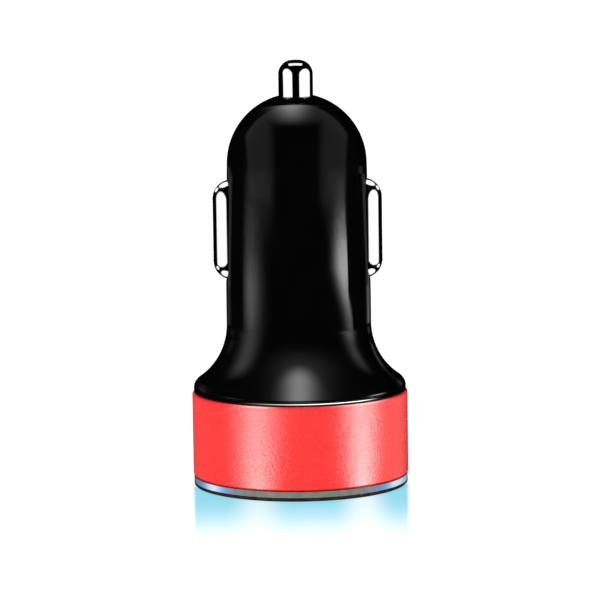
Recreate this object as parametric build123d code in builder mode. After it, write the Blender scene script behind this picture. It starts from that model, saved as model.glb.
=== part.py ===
from build123d import *

import os
from math import acos, asin, atan2, degrees, hypot, sin, sqrt

# Car USB charger plug, in millimetres. It stands on its port face at z = 0, with the axis along +Z
# and the spring-loaded centre contact on top.

# Trim ring: the metal sleeve that sets the largest diameter
ring_diameter = 30.0
ring_height = 11.5
ring_wall = 0.8
ring_chamfer = 0.2

# Light ring: the clear rim at the port face, with a spigot inside the skirt
rim_height = 1.5
rim_inset = 0.1
rim_chamfer = 0.45
spigot_height = 2.7
spigot_wall = 1.3
ledge_width = 0.6

# Face plate with the two port windows
face_setback = 0.3
face_thickness = 1.9
window_clearance = 0.1
window_chamfer = 0.35

# Housing: skirt, shoulder, flare, barrel and nose in one moulding
fit_gap = 0.05
skirt_wall = 1.4
shoulder_inset = 0.22
bead_height = 0.34
groove_width = 0.2
groove_depth = 0.15
shoulder_fillet = 1.64
flare_radius = 9.3
barrel_diameter = 20.1
barrel_land = 5.8
barrel_length = 22.2
barrel_taper = 0.37
nose_thickness = 3.4
housing_wall = 1.6
board_ledge = 0.85
throat_drop = 2.0
throat_height = 8.0

# Centre contact, its spring and its terminal
tip_diameter = 4.78
tip_projection = 4.6
tip_corner = 1.95
tip_clearance = 0.1
tip_travel = 3.0
flange_diameter = 7.0
flange_thickness = 1.5
seat_gap = 0.05
boss_diameter = 3.8
boss_length = 1.6
spring_diameter = 5.9
spring_wire = 0.55
spring_reserve = 1.5
spring_turns = 5
wire_sides = 6
terminal_diameter = 6.6
terminal_sheet = 0.5
terminal_nub_height = 0.8
prong_width = 2.4
prong_length = 3.0

# Side contacts and their leaf springs
contact_projection = 1.67
contact_radius = 2.65
contact_straight = 8.64
contact_sheet = 0.4
contact_clearance = 0.1
contact_nose_gap = 2.13
contact_travel = 1.6
tab_width = 3.2
tab_length = 1.2
tab_gap = 0.12
leaf_sheet = 0.25
leaf_bend = 1.2
leaf_foot = 2.8
leaf_crest = 2.4
leaf_reach = 4.6
leaf_return = 3.0
prong_grip = 1.5

# Main board
board_thickness = 1.6
board_setback = 1.0
board_side_gap = 2.0
board_rail_gap = 0.55
board_neck_gap = 0.45
rail_length = 6.6
rail_depth = 1.3
rail_width = 1.1
rail_clearance = 0.1

# Port connectors, one on each side of the board
usb_width = 13.1
usb_height = 5.7
usb_depth = 13.7
usb_setback = 0.2
usb_sheet = 0.3
usb_corner = 0.6
finger_width = 2.0
finger_length = 5.6
finger_slot = 0.45
finger_pitch = 6.6
tongue_width = 11.1
tongue_thickness = 1.84
tongue_gap = 0.72
tongue_setback = 1.4
tongue_chamfer = 0.3
block_length = 3.6
block_clearance = 0.03
block_inset = 0.2
strip_width = 1.0
strip_sheet = 0.25
strip_proud = 0.1
strip_setback = 0.5
strip_places = (-3.5, -1.0, 1.0, 3.5)
tail_length = 0.7

# Lamp board and lamps
led_length = 2.0
led_width = 1.25
led_height = 0.8
led_gap = 0.2
led_angle = 35.0
led_board_thickness = 0.8
led_board_gap = 0.1
led_window_clearance = 0.3

# Converter parts on the main board
part_spacing = 0.8
can_diameter = 6.3
can_height = 5.0
can_rim = 0.4
can_base = 6.6
can_base_height = 0.9
can_base_chamfer = 1.2
can_lead_width = 0.7
can_lead_length = 0.5
can_lead_sheet = 0.2
coil_size = 6.8
coil_height = 4.2
coil_corner = 1.5
coil_recess_diameter = 5.6
coil_recess_depth = 0.4
chip_width = 3.9
chip_length = 4.9
chip_height = 1.45
chip_standoff = 0.15
chip_chamfer = 0.25
chip_lead_pitch = 1.27
chip_lead_width = 0.42
chip_lead_sheet = 0.2
chip_lead_span = 6.0
diode_length = 4.3
diode_width = 2.6
diode_height = 2.1
diode_lead_width = 1.4
diode_lead_length = 0.5
diode_lead_sheet = 0.2
fuse_length = 4.5
fuse_width = 3.2
fuse_height = 1.1
fuse_notch = 0.5
small_length = 2.0
small_width = 1.25
resistor_height = 0.5
small_capacitor_height = 0.9
small_pitch = 2.6

# Radii, from the outside in
ring_radius = ring_diameter / 2
ring_bore = ring_radius - ring_wall
rim_radius = ring_radius - rim_inset
skirt_outer = ring_bore - fit_gap
skirt_inner = skirt_outer - skirt_wall
spigot_outer = skirt_inner - fit_gap
recess_radius = spigot_outer - spigot_wall
face_radius = recess_radius - fit_gap
ledge_radius = recess_radius - ledge_width
upper_bore = skirt_inner - board_ledge
shoulder_radius = ring_radius - shoulder_inset
barrel_radius = barrel_diameter / 2
nose_radius = barrel_radius - barrel_taper
cavity_radius = barrel_radius - housing_wall
nose_cavity = nose_radius - housing_wall
tip_radius = tip_diameter / 2
tip_bore = tip_radius + tip_clearance

# Heights, from the port face up
shoulder_z = rim_height + ring_height
face_seat_z = face_setback + face_thickness
spigot_top_z = rim_height + spigot_height
led_board_z = spigot_top_z + led_gap + led_height
led_board_top_z = led_board_z + led_board_thickness
fillet_z = shoulder_z + bead_height + groove_width
flare_angle = acos(1 - (shoulder_radius - barrel_radius) / (flare_radius + shoulder_fillet))
flare_top_z = fillet_z + (flare_radius + shoulder_fillet) * sin(flare_angle)
throat_top_z = flare_top_z - throat_drop
land_top_z = flare_top_z + barrel_land
nose_z = flare_top_z + barrel_length
nose_top_z = nose_z + nose_radius
nose_inner_z = nose_top_z - nose_thickness
tip_top_z = nose_top_z + tip_projection
flange_top_z = nose_inner_z - seat_gap
flange_z = flange_top_z - flange_thickness
spring_length = tip_travel + (spring_turns + 1) * spring_wire + spring_reserve
terminal_top_z = flange_z - spring_length
board_top_z = terminal_top_z - terminal_sheet

# Side contacts: the half-round crest stands proud of the barrel, the tabs stay behind its wall
contact_axis_x = barrel_radius + contact_projection - contact_radius
contact_half = contact_straight / 2 + contact_radius
contact_z = nose_z - contact_nose_gap - contact_half
contact_inner_radius = contact_radius - contact_sheet
tab_outer_x = sqrt((nose_cavity - tab_gap) ** 2 - (tab_width / 2) ** 2)
tab_inner_x = tab_outer_x - contact_sheet

# Main board outline and the room on its two faces
board_face = board_thickness / 2
board_z = face_seat_z + board_setback
tongue_half = usb_width / 2 - usb_sheet
base_half = upper_bore - board_side_gap
barrel_half = cavity_radius - board_rail_gap
neck_half = tab_inner_x - contact_travel - board_neck_gap
neck_z = contact_z - contact_half - tab_length - board_neck_gap
rail_z = neck_z - rail_length
usb_front_z = face_setback + usb_setback
usb_back_z = usb_front_z + usb_depth
usb_y = board_face + usb_height / 2
parts_z = usb_back_z + tail_length + part_spacing

rear, front = 1, -1


def finish(part, name):
    part.label = name
    export_step(part, f"parts/{name}.step")


def tangent_angle(radius, reach, drop):
    # Angle on a circle where a line from a point outside it (reach across, drop below) touches
    return atan2(-drop, reach) + acos(radius / hypot(reach, drop))


def board_plane(side, z):
    # On one face of the main board, looking away from it
    return Plane(origin=(0, side * board_face, z), x_dir=(1, 0, 0), z_dir=(0, side, 0))


os.makedirs("parts", exist_ok=True)

# Housing: one outline turned about the axis, then slots for the side contacts and rails for the board
outer_draft = tangent_angle(nose_radius, barrel_radius, nose_z - land_top_z)
inner_draft = tangent_angle(nose_cavity, cavity_radius, nose_z - land_top_z)
flare_centre = (barrel_radius + flare_radius, flare_top_z)
vault_angle = asin((nose_inner_z - nose_z) / nose_cavity)
with BuildPart() as housing:
    with BuildSketch(Plane.XZ):
        with BuildLine():
            bead = Polyline(
                (skirt_inner, rim_height),
                (skirt_outer, rim_height),
                (skirt_outer, shoulder_z),
                (shoulder_radius, shoulder_z),
                (shoulder_radius, shoulder_z + bead_height),
                (shoulder_radius - groove_depth, shoulder_z + bead_height + groove_width / 2),
                (shoulder_radius, fillet_z),
            )
            fillet_centre = (shoulder_radius - shoulder_fillet, fillet_z)
            CenterArc(fillet_centre, shoulder_fillet, 0, degrees(flare_angle))
            CenterArc(flare_centre, flare_radius, 180, degrees(flare_angle))
            dome_end = degrees(acos(tip_bore / nose_radius))
            dome = CenterArc((0, nose_z), nose_radius, degrees(outer_draft), dome_end - degrees(outer_draft))
            Polyline((barrel_radius, flare_top_z), (barrel_radius, land_top_z), dome @ 0)
            inner_span = degrees(vault_angle - inner_draft)
            vault = CenterArc((0, nose_z), nose_cavity, degrees(inner_draft), inner_span)
            Polyline(dome @ 1, (tip_bore, nose_inner_z), vault @ 1)
            Polyline(
                vault @ 0,
                (cavity_radius, land_top_z),
                (cavity_radius, throat_top_z),
                (upper_bore, throat_top_z - throat_height),
                (upper_bore, led_board_top_z),
                (skirt_inner, led_board_top_z),
                bead @ 0,
            )
        make_face()
    revolve(axis=Axis.Z)
    with BuildSketch(Plane.YZ):
        with Locations((0, contact_z)):
            SlotCenterToCenter(contact_straight, 2 * (contact_radius + contact_clearance), rotation=90)
    extrude(amount=ring_radius, both=True, mode=Mode.SUBTRACT)
    rail_x = barrel_half - rail_depth / 2 + board_rail_gap / 2
    rail_y = board_face + rail_clearance + rail_width / 2
    with BuildSketch(Plane.XY.offset(rail_z)):
        with GridLocations(2 * rail_x, 2 * rail_y, 2, 2):
            Rectangle(rail_depth + board_rail_gap, rail_width)
    extrude(amount=rail_length)
finish(housing.part, "housing")

# Trim ring
with BuildPart() as trim_ring:
    with BuildSketch(Plane.XZ) as section:
        with Locations((ring_radius - ring_wall / 2, rim_height + ring_height / 2)):
            Rectangle(ring_wall, ring_height)
        chamfer(section.vertices().group_by(Axis.X)[-1], ring_chamfer)
    revolve(axis=Axis.Z)
finish(trim_ring.part, "trim_ring")

# Light ring: visible rim, spigot in the skirt, recess and ledge for the face plate
with BuildPart() as light_ring:
    with BuildSketch(Plane.XZ):
        with BuildLine():
            Polyline(
                (recess_radius, 0),
                (rim_radius - rim_chamfer, 0),
                (rim_radius, rim_chamfer),
                (rim_radius, rim_height),
                (spigot_outer, rim_height),
                (spigot_outer, spigot_top_z),
                (ledge_radius, spigot_top_z),
                (ledge_radius, face_seat_z),
                (recess_radius, face_seat_z),
                close=True,
            )
        make_face()
    revolve(axis=Axis.Z)
finish(light_ring.part, "light_ring")

# Face plate: disc with a window for each port
with BuildPart() as face_plate:
    with BuildSketch(Plane.XY.offset(face_setback)):
        Circle(face_radius)
        with GridLocations(0, 2 * usb_y, 1, 2):
            RectangleRounded(
                usb_width + 2 * window_clearance,
                usb_height + 2 * window_clearance,
                usb_corner + window_clearance,
                mode=Mode.SUBTRACT,
            )
    extrude(amount=face_thickness)
    chamfer(face_plate.faces().sort_by(Axis.Z)[0].inner_wires().edges(), window_chamfer)
finish(face_plate.part, "face_plate")

# Centre contact: turned pin with a flange behind the nose and a boss inside the spring
with BuildPart() as tip_contact:
    with BuildSketch(Plane.XZ):
        with BuildLine():
            shank = Polyline(
                (0, flange_z - boss_length),
                (boss_diameter / 2, flange_z - boss_length),
                (boss_diameter / 2, flange_z),
                (flange_diameter / 2, flange_z),
                (flange_diameter / 2, flange_top_z),
                (tip_radius, flange_top_z),
                (tip_radius, tip_top_z - tip_corner),
            )
            crown = CenterArc((tip_radius - tip_corner, tip_top_z - tip_corner), tip_corner, 0, 90)
            Polyline(crown @ 1, (0, tip_top_z), shank @ 0)
        make_face()
    revolve(axis=Axis.Z)
finish(tip_contact.part, "tip_contact")

# Spring between the terminal and the flange of the centre contact
coil_height_z = spring_length - spring_wire - 2 * seat_gap
with BuildPart() as tip_spring:
    with BuildLine():
        turns = Helix(
            pitch=coil_height_z / spring_turns,
            height=coil_height_z,
            radius=(spring_diameter - spring_wire) / 2,
            center=(0, 0, terminal_top_z + spring_wire / 2 + seat_gap),
        )
    with BuildSketch(Plane(origin=turns @ 0, z_dir=turns % 0)):
        RegularPolygon(spring_wire / 2, wire_sides)
    sweep(path=turns, is_frenet=True)
finish(tip_spring.part, "tip_spring")

# Terminal: spring seat with two prongs soldered to the end of the board
with BuildPart() as tip_terminal:
    with BuildSketch(Plane.XY.offset(board_top_z)):
        Circle(terminal_diameter / 2)
    extrude(amount=terminal_sheet)
    with BuildSketch(Plane.XY.offset(terminal_top_z)):
        Circle(boss_diameter / 2)
    extrude(amount=terminal_nub_height)
    with BuildSketch(Plane.XY.offset(board_top_z)):
        with GridLocations(0, board_thickness + terminal_sheet, 1, 2):
            Rectangle(prong_width, terminal_sheet)
    extrude(amount=-prong_length)
finish(tip_terminal.part, "tip_terminal")


# Side contacts: a drawn half-round cap with straight sides and a tab at each end
def add_cap(radius, mode):
    with Locations((contact_axis_x, 0, contact_z)):
        Cylinder(radius, contact_straight, mode=mode)
    with Locations(*[(contact_axis_x, 0, contact_z + end * contact_straight / 2) for end in (-1, 1)]):
        Sphere(radius, mode=mode)
    with BuildSketch(Plane.YZ.offset(tab_inner_x)) as sides:
        with Locations((0, contact_z)):
            SlotCenterToCenter(contact_straight, 2 * radius, rotation=90)
    extrude(sides.sketch, amount=contact_axis_x - tab_inner_x, mode=mode)


with BuildPart() as ground_contact:
    add_cap(contact_radius, Mode.ADD)
    split(bisect_by=Plane.YZ.offset(tab_inner_x), keep=Keep.TOP)
    add_cap(contact_inner_radius, Mode.SUBTRACT)
    tab_overlap = contact_sheet / 2
    with BuildSketch(Plane.YZ.offset(tab_inner_x)):
        with Locations((0, contact_z)):
            with GridLocations(0, 2 * contact_half + tab_length - tab_overlap, 1, 2):
                Rectangle(tab_width, tab_length + tab_overlap)
    extrude(amount=contact_sheet)
finish(ground_contact.part, "ground_contact_right")
finish(mirror(ground_contact.part, about=Plane.YZ), "ground_contact_left")

# Leaf springs: each grips the board edge and bows into the hollow of its contact
leaf_half = board_face + leaf_sheet
leaf_root_x = neck_half + leaf_sheet / 2
crest_room = sqrt(contact_inner_radius**2 - leaf_half**2)
leaf_crest_x = contact_axis_x + crest_room - seat_gap - leaf_sheet / 2
leaf_foot_z = contact_z - leaf_reach - leaf_foot / 2
with BuildPart() as ground_leaf:
    with BuildSketch(Plane.XZ):
        with BuildLine():
            FilletPolyline(
                (leaf_root_x, leaf_foot_z),
                (leaf_root_x, leaf_foot_z + leaf_foot),
                (leaf_crest_x, contact_z - leaf_crest / 2),
                (leaf_crest_x, contact_z + leaf_crest / 2),
                (leaf_crest_x - leaf_return, contact_z + leaf_reach),
                radius=leaf_bend,
            )
        trace(line_width=leaf_sheet)
    extrude(amount=leaf_half, both=True)
    with BuildSketch(Plane.XY.offset(leaf_foot_z)):
        with GridLocations(0, board_thickness + leaf_sheet, 1, 2):
            with Locations((leaf_root_x - prong_grip / 2, 0)):
                Rectangle(prong_grip, leaf_sheet)
    extrude(amount=leaf_foot - leaf_bend)
finish(ground_leaf.part, "ground_leaf_right")
finish(mirror(ground_leaf.part, about=Plane.YZ), "ground_leaf_left")

# Main board: tongue between the ports, wide base, barrel part in the rails and a neck between the contacts
base_top_z = usb_back_z
barrel_start_z = flare_top_z - flare_radius / 2
with BuildPart() as circuit_board:
    with BuildSketch(Plane.XZ):
        with BuildLine():
            Polyline(
                (0, board_z),
                (tongue_half, board_z),
                (tongue_half, led_board_top_z),
                (base_half, led_board_top_z),
                (base_half, base_top_z),
                (barrel_half, barrel_start_z),
                (barrel_half, neck_z),
                (neck_half, neck_z),
                (neck_half, board_top_z),
                (0, board_top_z),
            )
            mirror(about=Plane.YZ)
        make_face()
    extrude(amount=board_face, both=True)
finish(circuit_board.part, "circuit_board")

# Port shell: folded sheet tube with two spring fingers cut into its outer side
with BuildPart() as usb_shell:
    with BuildSketch(Plane.XY.offset(usb_front_z)):
        with Locations((0, usb_y)):
            RectangleRounded(usb_width, usb_height, usb_corner)
            RectangleRounded(
                usb_width - 2 * usb_sheet,
                usb_height - 2 * usb_sheet,
                usb_corner - usb_sheet,
                mode=Mode.SUBTRACT,
            )
    extrude(amount=usb_depth)
    finger_z = usb_front_z + usb_depth / 2
    with BuildSketch(Plane.XZ.offset(-usb_y - usb_height / 2)):
        with Locations((0, finger_z)):
            with GridLocations(finger_pitch, 0, 2, 1):
                Rectangle(finger_width + 2 * finger_slot, finger_length)
                with Locations((0, finger_slot)):
                    Rectangle(finger_width, finger_length, mode=Mode.SUBTRACT)
    extrude(amount=usb_sheet, mode=Mode.SUBTRACT)
finish(usb_shell.part, "usb_shell_rear")
finish(mirror(usb_shell.part, about=Plane.XZ), "usb_shell_front")

# Contact strips: along the board side of the tongue, through the block and down to the board
tongue_y = usb_y + usb_height / 2 - usb_sheet - tongue_gap - tongue_thickness / 2
strip_y = tongue_y - tongue_thickness / 2 - strip_proud
strip_front_z = usb_front_z + tongue_setback + strip_setback
strip_end_z = usb_back_z + tail_length
with BuildPart() as usb_contacts:
    for place in strip_places:
        with BuildSketch(Plane.YZ.offset(place)):
            with BuildLine():
                Polyline(
                    (strip_y, strip_front_z),
                    (strip_y + strip_sheet, strip_front_z),
                    (strip_y + strip_sheet, strip_end_z),
                    (board_face, strip_end_z),
                    (board_face, strip_end_z - strip_sheet),
                    (strip_y, strip_end_z - strip_sheet),
                    close=True,
                )
            make_face()
    extrude(amount=strip_width / 2, both=True)
finish(usb_contacts.part, "usb_contacts_rear")
finish(mirror(usb_contacts.part, about=Plane.XZ), "usb_contacts_front")

# Port insulator: block in the back of the shell with the tongue in front, cut for the contact strips
block_z = usb_back_z - block_inset - block_length
tongue_z = usb_front_z + tongue_setback
inner_width = usb_width - 2 * (usb_sheet + block_clearance)
inner_height = usb_height - 2 * (usb_sheet + block_clearance)
with BuildPart() as usb_insulator:
    with BuildSketch(Plane.XY.offset(block_z)):
        with Locations((0, usb_y)):
            RectangleRounded(inner_width, inner_height, usb_corner - usb_sheet)
    extrude(amount=block_length)
    with BuildSketch(Plane.XY.offset(tongue_z)):
        with Locations((0, tongue_y)):
            Rectangle(tongue_width, tongue_thickness)
    extrude(amount=block_z - tongue_z)
    chamfer(usb_insulator.edges().filter_by(Axis.X).group_by(Axis.Z)[0], tongue_chamfer)
    add(usb_contacts.part, mode=Mode.SUBTRACT)
finish(usb_insulator.part, "usb_insulator_rear")
finish(mirror(usb_insulator.part, about=Plane.XZ), "usb_insulator_front")

# Lamp board: disc against the ledge in the skirt, open in the middle for the ports
with BuildPart() as led_board:
    with BuildSketch(Plane.XY.offset(led_board_z)):
        Circle(skirt_inner - led_board_gap)
        Rectangle(
            usb_width + 2 * led_window_clearance,
            2 * (board_face + usb_height + led_window_clearance),
            mode=Mode.SUBTRACT,
        )
    extrude(amount=led_board_thickness)
finish(led_board.part, "led_board")

# Lamps under the lamp board, above the spigot of the light ring, a pair beside each end of the ports
led_radius = (spigot_outer + ledge_radius) / 2
with BuildPart() as indicator_leds:
    with BuildSketch(Plane.XY.offset(led_board_z)):
        for angle in (-led_angle, led_angle):
            with PolarLocations(led_radius, 2, start_angle=angle):
                Rectangle(led_width, led_length)
    extrude(amount=-led_height)
finish(indicator_leds.part, "indicator_leds")


# Can capacitor standing on the board, on its square base with two leads
def make_can(side, z):
    with BuildPart() as can:
        with BuildSketch(board_plane(side, z)) as base:
            Rectangle(can_base, can_base)
            chamfer(base.vertices().group_by(Axis.X)[-1], can_base_chamfer)
        extrude(amount=can_base_height)
        with BuildSketch(board_plane(side, z)):
            Rectangle(can_base + 2 * can_lead_length, can_lead_width)
        extrude(amount=can_lead_sheet)
        with BuildSketch(board_plane(side, z).offset(can_base_height)):
            Circle(can_diameter / 2)
        extrude(amount=can_height)
        chamfer(can.faces().sort_by(Axis.Y)[-1 if side == rear else 0].edges(), can_rim)
    return can.part


coil_z = parts_z + coil_size / 2
input_can_z = parts_z + can_base / 2
output_can_z = parts_z + coil_size + part_spacing + can_base / 2
finish(make_can(rear, input_can_z), "input_capacitor")
finish(make_can(front, output_can_z), "output_capacitor")

# Power inductor: square body with cut corners and a round winding well
with BuildPart() as power_inductor:
    with BuildSketch(board_plane(front, coil_z)) as body:
        Rectangle(coil_size, coil_size)
        chamfer(body.vertices(), coil_corner)
    extrude(amount=coil_height)
    with BuildSketch(board_plane(front, coil_z).offset(coil_height)):
        Circle(coil_recess_diameter / 2)
    extrude(amount=-coil_recess_depth, mode=Mode.SUBTRACT)
finish(power_inductor.part, "power_inductor")

# Converter chip: body with four bent leads on each long side
chip_z = parts_z + can_base + part_spacing + chip_length / 2
lead_mid = board_face + chip_standoff + chip_height / 2
lead_foot = board_face + chip_lead_sheet / 2
with BuildPart() as buck_controller:
    with BuildSketch(board_plane(rear, chip_z).offset(chip_standoff)):
        Rectangle(chip_width, chip_length)
    extrude(amount=chip_height)
    chamfer(buck_controller.faces().sort_by(Axis.Y)[-1].edges(), chip_chamfer)
    for row in (-1.5, -0.5, 0.5, 1.5):
        with BuildSketch(Plane.XY.offset(chip_z + row * chip_lead_pitch)):
            with BuildLine():
                bend_x = (chip_width + chip_lead_span) / 4
                Polyline(
                    (chip_width / 2 - chip_lead_sheet, lead_mid),
                    (bend_x, lead_mid),
                    (bend_x, lead_foot),
                    (chip_lead_span / 2, lead_foot),
                )
                mirror(about=Plane.YZ)
            trace(line_width=chip_lead_sheet)
        extrude(amount=chip_lead_width / 2, both=True)
finish(buck_controller.part, "buck_controller")

# Freewheel diode: block with a flat lead at each end
diode_z = chip_z + chip_length / 2 + part_spacing + diode_width / 2
with BuildPart() as freewheel_diode:
    with BuildSketch(board_plane(rear, diode_z)):
        Rectangle(diode_length, diode_width)
    extrude(amount=diode_height)
    with BuildSketch(board_plane(rear, diode_z)):
        Rectangle(diode_length + 2 * diode_lead_length, diode_lead_width)
    extrude(amount=diode_lead_sheet)
finish(freewheel_diode.part, "freewheel_diode")

# Resettable fuse: flat chip with round end notches
fuse_z = output_can_z + can_base / 2 + part_spacing + fuse_length / 2
with BuildPart() as input_fuse:
    with BuildSketch(board_plane(front, fuse_z)):
        Rectangle(fuse_width, fuse_length)
        with GridLocations(0, fuse_length, 1, 2):
            Circle(fuse_notch, mode=Mode.SUBTRACT)
    extrude(amount=fuse_height)
finish(input_fuse.part, "input_fuse")


# Small chip parts in two columns, clear of the fuse between them
def make_small_parts(side, z, height):
    with BuildPart() as chips:
        with BuildSketch(board_plane(side, z)):
            with GridLocations(fuse_width + part_spacing + small_length, small_pitch, 2, 2):
                Rectangle(small_length, small_width)
        extrude(amount=height)
    return chips.part


resistor_z = diode_z + diode_width / 2 + part_spacing + (small_pitch + small_width) / 2
small_capacitor_z = resistor_z + small_pitch
finish(make_small_parts(rear, resistor_z, resistor_height), "chip_resistors")
finish(make_small_parts(front, small_capacitor_z, small_capacitor_height), "chip_capacitors")
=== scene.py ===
import bmesh
import bpy
import numpy as np
from mathutils import Matrix


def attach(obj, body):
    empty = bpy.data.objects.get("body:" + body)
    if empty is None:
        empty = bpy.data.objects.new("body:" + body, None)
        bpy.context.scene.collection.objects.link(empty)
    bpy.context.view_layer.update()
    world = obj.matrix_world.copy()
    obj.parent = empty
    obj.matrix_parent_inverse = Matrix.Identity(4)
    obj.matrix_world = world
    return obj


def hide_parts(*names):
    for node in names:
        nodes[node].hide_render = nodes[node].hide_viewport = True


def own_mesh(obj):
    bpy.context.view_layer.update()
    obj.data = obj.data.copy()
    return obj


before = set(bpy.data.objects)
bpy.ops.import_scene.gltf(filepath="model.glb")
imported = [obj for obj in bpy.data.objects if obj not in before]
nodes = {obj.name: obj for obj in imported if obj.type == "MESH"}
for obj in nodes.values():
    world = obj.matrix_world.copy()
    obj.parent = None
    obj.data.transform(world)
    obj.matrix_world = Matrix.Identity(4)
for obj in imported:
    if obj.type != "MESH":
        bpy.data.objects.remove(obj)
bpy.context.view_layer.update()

mm = 0.001
print("frame loaded:", len(nodes), "nodes")


# vectors along the last axis, each divided by its length
def unit(vectors):
    return vectors / np.maximum(np.linalg.norm(vectors, axis=-1, keepdims=True), 1e-6)


# running numbers of a grid's points
def gridIndex(grid, start=0):
    return np.arange(start, start + grid.shape[0] * grid.shape[1]).reshape(grid.shape[:2])


# quads of a rows x columns grid of points; either way may close on itself
def gridQuads(index, closeRows=False, closeCols=False):
    if closeRows:
        index = np.vstack([index, index[:1]])
    if closeCols:
        index = np.hstack([index, index[:, :1]])
    return np.stack([index[:-1, :-1], index[:-1, 1:], index[1:, 1:], index[1:, :-1]], -1).reshape(-1, 4)


# a polygon with every corner rounded: each corner is the exact circle arc written as a rational
# quadratic curve from tangent point to tangent point, with one support point on the straight before and after
def roundedOutline(corners, radii, steps=6, support=0.4):
    p = np.array(corners, float)
    rad = np.broadcast_to(np.array(radii, float), (len(p),))[:, None]
    back, ahead = unit(np.roll(p, 1, 0) - p), unit(np.roll(p, -1, 0) - p)
    half = np.arccos(np.clip((back * ahead).sum(1, keepdims=True), -1, 1)) / 2
    reach = rad / np.tan(half)
    start, end, weight = p + back * reach, p + ahead * reach, np.sin(half)
    s = np.linspace(0, 1, steps)[None, :, None]
    a, b, c = (1 - s) ** 2, 2 * s * (1 - s) * weight[:, None], s**2
    arc = (a * start[:, None] + b * p[:, None] + c * end[:, None]) / (a + b + c)
    before = (start + back * rad * support)[:, None]
    after = (end + ahead * rad * support)[:, None]
    return np.concatenate([before, arc, after], 1).reshape(-1, 2)


# points on a circle arc, angles in degrees
def arcPoints(centre, radius, first, last, steps):
    a = np.radians(np.linspace(first, last, steps))
    return np.stack([centre[0] + radius * np.cos(a), centre[1] + radius * np.sin(a)], 1)


# an outline (radius, height) turned about the axis: x = r cos, y = r sin, z = height
def turn(outline, columns):
    a = np.radians(-90 + 360 * np.arange(columns) / columns)[None]
    r, z = outline[:, :1], outline[:, 1:]
    return np.stack([r * np.cos(a), r * np.sin(a), z + 0 * a], -1)


# an object from points in mm, shaded smooth, with edges sharp from an angle in degrees
def newObject(name, points, quads, materials, faceMaterial=None, sharpAngle=40, merge=True):
    mesh = bpy.data.meshes.new(name)
    mesh.from_pydata((np.asarray(points).reshape(-1, 3) * mm).tolist(), [], np.asarray(quads).tolist())
    for material in materials:
        mesh.materials.append(material)
    if faceMaterial is not None:
        mesh.polygons.foreach_set("material_index", np.asarray(faceMaterial, np.int32))
    if merge:
        work = bmesh.new()
        work.from_mesh(mesh)
        bmesh.ops.remove_doubles(work, verts=work.verts, dist=2e-7)
        bmesh.ops.recalc_face_normals(work, faces=work.faces)
        work.to_mesh(mesh)
        work.free()
    mesh.polygons.foreach_set("use_smooth", np.ones(len(mesh.polygons), bool))
    mesh.set_sharp_from_angle(angle=np.radians(sharpAngle))
    obj = bpy.data.objects.new(name, mesh)
    bpy.context.scene.collection.objects.link(obj)
    return obj


# a piece rides on its body and stands for its nodes, which it hides; its slot name is not used
def dress(obj, body, slotName, *stoodFor):
    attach(obj, body)
    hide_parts(*stoodFor)
    return obj


# a box as a closed skin with small chamfered edges: a rounded rectangle outline carried up, drawn in at both ends
def barPoints(low, high, edge):
    (x0, y0, z0), (x1, y1, z1) = low, high
    section = roundedOutline([(x0, y0), (x1, y0), (x1, y1), (x0, y1)], edge, 3, 0.2)
    middle = np.array([(x0 + x1) / 2, (y0 + y1) / 2])
    inset = 1 - edge / np.minimum(x1 - x0, y1 - y0)
    rings = [(0, z0), (inset, z0), (1, z0 + edge / 2), (1, z1 - edge / 2), (inset, z1), (0, z1)]
    scale, height = np.array(rings).T[:, :, None, None]
    flat = middle + (section - middle)[None] * scale
    return np.concatenate([flat, height + 0 * flat[..., :1]], -1)


# several grids (points, closed rows, closed columns) put together as one mesh's points and quads
def joined(*grids):
    points, quads, start = [], [], 0
    for grid, closeRows, closeCols in grids:
        index = gridIndex(grid, start)
        points.append(grid.reshape(-1, 3))
        quads.append(gridQuads(index, closeRows, closeCols))
        start += index.size
    return np.concatenate(points), np.concatenate(quads)


# smooth step from 0 to 1 between low and high
def ramp(x, low, high):
    t = np.clip((x - low) / (high - low), 0, 1)
    return t * t * (3 - 2 * t)


# bell curve with its own spread on each side of the middle
def bell(x, middle, low, high):
    return np.exp(-0.5 * ((x - middle) / np.where(x < middle, low, high)) ** 2)


# a value goes into a socket: another socket by a link, a number or a colour as it is
def wire(value, socket):
    if isinstance(value, bpy.types.NodeSocket):
        socket.id_data.links.new(value, socket)
    else:
        socket.default_value = value if isinstance(value, (int, float)) else (*value, 1)


# an emptied node tree and its new output
def emptyTree(owner, kind="ShaderNodeOutputMaterial"):
    owner.use_nodes = True
    owner.node_tree.nodes.clear()
    return owner.node_tree, owner.node_tree.nodes.new(kind)


# materials: each reads Object coordinates, in metres; a look's sockets are numbers that are the same all over
def startMaterial(name, look):
    material = bpy.data.materials.new(name)
    tree, out = emptyTree(material)
    shader = tree.nodes.new("ShaderNodeBsdfPrincipled")
    wire(shader.outputs[0], out.inputs[0])
    coords = tree.nodes.new("ShaderNodeTexCoord")
    for socket, value in look.get("sockets", {}).items():
        wire(value, shader.inputs[socket])
    return material, tree, shader, coords.outputs["Object"]


def noiseNode(tree, vector, size, detail=2.0, rough=0.5):
    node = tree.nodes.new("ShaderNodeTexNoise")
    for socket, value in (("Scale", 1 / size), ("Detail", detail), ("Roughness", rough), ("Vector", vector)):
        wire(value, node.inputs[socket])
    return node.outputs["Fac"]


def rangeNode(tree, value, low, high, toLow, toHigh, smooth=False):
    node = tree.nodes.new("ShaderNodeMapRange")
    node.interpolation_type = "SMOOTHSTEP" if smooth else "LINEAR"
    for socket, number in zip(node.inputs, (value, low, high, toLow, toHigh)):
        wire(number, socket)
    return node.outputs[0]


def mixNode(tree, factor, first, second):
    node = tree.nodes.new("ShaderNodeMix")
    node.data_type = "RGBA"
    for socket, value in ((0, factor), (6, first), (7, second)):
        wire(value, node.inputs[socket])
    return node.outputs[2]


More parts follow.
